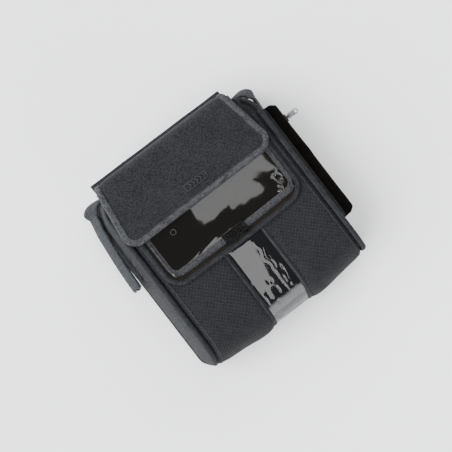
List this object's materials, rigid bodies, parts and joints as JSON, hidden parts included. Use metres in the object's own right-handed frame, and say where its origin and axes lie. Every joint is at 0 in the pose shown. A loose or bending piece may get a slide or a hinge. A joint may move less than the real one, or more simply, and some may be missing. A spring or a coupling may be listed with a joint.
{
  "type": "motorcycle tank bag",
  "caption": "Soft motorcycle tank bag with a padded flap over a clear map window, a clear centre strip, side webbing and a zipped side pocket.",
  "frame": {"origin": "on the flat base face, below the lower middle of the map window", "axes": "+Z out of the front with the windows, +Y towards the hinge of the flaps, +X towards the zipped side pocket"},
  "size_m": [0.2836, 0.2488, 0.091],
  "materials": {
    "shell_fabric": "padded, coarse woven polyester, dark charcoal",
    "flap_fabric": "fine smooth knit over foam, dark charcoal",
    "binding_tape": "ribbed grosgrain binding with a stitch line",
    "mesh_band": "fine nylon mesh band",
    "clear_vinyl": "soft clear vinyl, glossy and a little creased",
    "hook_tape": "black hook fastener tape",
    "foam": "closed-cell foam",
    "board": "stiff plastic sheet",
    "lining": "thin brownish-black nylon lining",
    "base_grip": "non-slip base fabric",
    "webbing": "woven polyester webbing",
    "zip_tape": "black zip tape",
    "zip_coil": "black nylon coil",
    "stud_metal": "dark painted snap ring",
    "badge_rubber": "soft moulded rubber badge",
    "slider_metal": "black painted zip slider",
    "pull_metal": "bright plated zip pull"
  },
  "bodies": {
    "bag": {"base_panel": "base_grip", "base_board": "board", "base_lining": "lining", "base_piping": "binding_tape", "left_wall": "shell_fabric", "right_wall": "shell_fabric", "top_wall": "shell_fabric", "corner_left": "shell_fabric", "corner_right": "shell_fabric", "front_panel_left": "shell_fabric", "front_panel_right": "shell_fabric", "front_piping_left": "binding_tape", "front_piping_right": "binding_tape", "opening_facing": "shell_fabric", "window_strip": "clear_vinyl", "strip_binding_left": "binding_tape", "strip_binding_right": "binding_tape", "flap_hinge_strip": "binding_tape", "webbing_top": "webbing", "webbing_loop_left": "webbing", "webbing_loop_right": "webbing", "side_pocket_shell": "shell_fabric", "zip_tape_upper": "zip_tape", "zip_tape_lower": "zip_tape", "zip_coil": "zip_coil", "zip_stops": "zip_coil"},
    "window_flap": {"window_frame": "mesh_band", "window_binding": "binding_tape", "window_pane": "clear_vinyl", "window_backing": "lining", "hook_patch": "hook_tape", "press_stud": "stud_metal", "window_hinge_tape": "mesh_band"},
    "main_flap": {"main_flap_panel": "flap_fabric", "main_flap_foam": "foam", "main_flap_lining": "lining", "main_flap_binding": "binding_tape", "badge": "badge_rubber"},
    "slider": {"zip_slider": "slider_metal"},
    "pull": {"zip_pull": "pull_metal"},
    "loose_strap": {"side_strap_left": "webbing"}
  },
  "joints": [
    {"name": "window_flap_hinge", "type": "hinge", "parent": "bag", "child": "window_flap", "pos_m": [0, 0.112, 0.077], "axis": [-1, 0, 0], "range_deg": [0, 70]},
    {"name": "main_flap_hinge", "type": "hinge", "parent": "window_flap", "child": "main_flap", "pos_m": [0, 0.112, 0.077], "axis": [-1, 0, 0], "range_deg": [0, 110]},
    {"name": "zip_travel", "type": "slide", "parent": "bag", "child": "slider", "axis": [0, -1, 0], "range_m": [0, 0.118]},
    {"name": "pull_swing", "type": "hinge", "parent": "slider", "child": "pull", "pos_m": [0.138, 0.055, 0.052], "axis": [0, 0, 1], "range_deg": [-85, 85]},
    {"name": "strap_swing", "type": "hinge", "parent": "bag", "child": "loose_strap", "pos_m": [-0.12, 0.098, 0.038], "axis": [0, 0, -1], "range_deg": [0, 75]}
  ]
}
